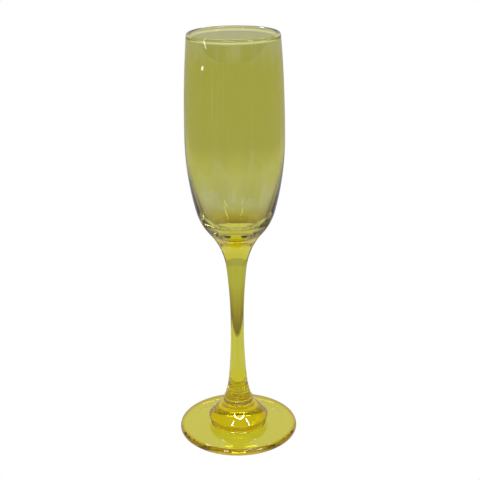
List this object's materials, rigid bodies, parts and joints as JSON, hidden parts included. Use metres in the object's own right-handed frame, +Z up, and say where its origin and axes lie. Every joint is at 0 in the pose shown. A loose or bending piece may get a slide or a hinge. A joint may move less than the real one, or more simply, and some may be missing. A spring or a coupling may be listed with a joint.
{
  "type": "champagne flute",
  "caption": "Tall champagne flute in yellow coated glass: slim bowl with a rounded rim, solid flared stem with a neck band, and a domed round foot.",
  "frame": {"origin": "middle of the foot's underside, on the plane that the flute stands on", "axes": "+Z up along the flute's axis, from the foot to the rim; X and Y are level and alike, because the flute is round"},
  "size_m": [0.0632, 0.0632, 0.215],
  "materials": {
    "bowl_glass": "clear glass, thin glossy yellow coat sprayed on the outside, bare inside",
    "stem_glass": "clear glass, thin glossy yellow coat on the outside",
    "foot_glass": "clear glass, thin glossy yellow coat on the outside, a little deeper round the edge"
  },
  "bodies": {
    "root": {"bowl": "bowl_glass", "stem": "stem_glass", "foot": "foot_glass"}
  },
  "joints": []
}
